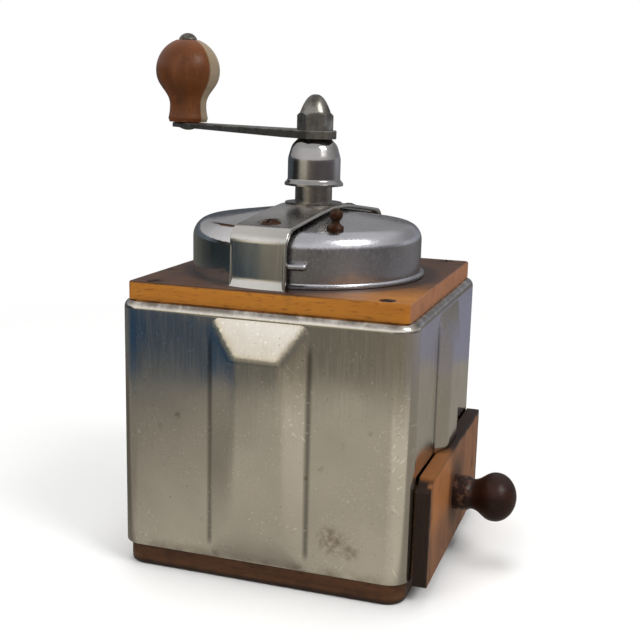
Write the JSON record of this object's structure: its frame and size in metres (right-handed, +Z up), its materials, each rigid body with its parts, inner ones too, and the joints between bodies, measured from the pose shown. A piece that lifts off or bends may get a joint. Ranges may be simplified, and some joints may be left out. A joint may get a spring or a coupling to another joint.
{
  "type": "hand crank coffee grinder",
  "caption": "Hand crank coffee grinder with a wooden base and top plate, ribbed metal sleeve, half-dome hopper with a turning door, crank with wooden knob and a drawer.",
  "frame": {"origin": "middle of the base's underside", "axes": "+Z up along the crank shaft, drawer faces -Y, crank arm at rest points to +X +Y"},
  "size_m": [0.1306, 0.1892, 0.2213],
  "materials": {
    "nickel_sheet": "worn bright nickel plate",
    "nickel_polished": "polished nickel plate",
    "dark_steel": "aged dark steel",
    "rusty_steel": "rusted brown steel",
    "plain_steel": "plain steel",
    "iron": "bare cast iron",
    "beech": "varnished honey beech",
    "beech_dark": "dark stained beech",
    "beech_pale": "plain beech",
    "knob_wood": "reddish brown turned wood",
    "drawer_wood": "worn brown beech"
  },
  "bodies": {
    "housing": {"base_plate": "beech_dark", "base_screws": "plain_steel", "body_shell": "nickel_sheet", "case_left_board": "beech_pale", "case_right_board": "beech_pale", "case_back_board": "beech_pale", "case_front_rail": "beech_pale", "top_plate": "beech", "top_plate_screws": "rusty_steel", "hopper_shell": "nickel_polished", "bridge_strap": "nickel_polished", "strap_screws": "rusty_steel", "bearing_column": "dark_steel", "column_nut": "plain_steel", "mill_ring": "iron", "mill_bridge": "plain_steel", "mill_screws": "plain_steel"},
    "drawer": {"drawer_front": "drawer_wood", "drawer_left_side": "beech_pale", "drawer_right_side": "beech_pale", "drawer_back": "beech_pale", "drawer_bottom": "beech_pale", "drawer_knob": "knob_wood", "drawer_knob_screw": "plain_steel"},
    "hopper_door": {"hopper_door": "nickel_sheet", "door_knob": "rusty_steel", "door_stop_peg": "nickel_sheet"},
    "crank": {"crank_shaft": "plain_steel", "mill_cone": "iron", "cone_nut": "plain_steel", "bell_cap": "nickel_polished", "crank_arm": "dark_steel", "acorn_nut": "dark_steel", "knob_spindle": "dark_steel"},
    "crank_knob": {"crank_knob": "knob_wood"}
  },
  "joints": [
    {"name": "crank_turn", "type": "hinge", "parent": "housing", "child": "crank", "pos_m": [0, 0, 0.16], "axis": [0, 0, 1], "continuous": true},
    {"name": "knob_spin", "type": "hinge", "parent": "crank", "child": "crank_knob", "pos_m": [0.0453, 0.08007, 0.1999], "axis": [0, 0, 1], "continuous": true},
    {"name": "drawer_slide", "type": "slide", "parent": "housing", "child": "drawer", "axis": [0, -1, 0], "range_m": [0, 0.1]},
    {"name": "hopper_door_turn", "type": "hinge", "parent": "housing", "child": "hopper_door", "pos_m": [0, 0, 0.1457], "axis": [0, 0, 1], "range_deg": [0, 115]}
  ]
}
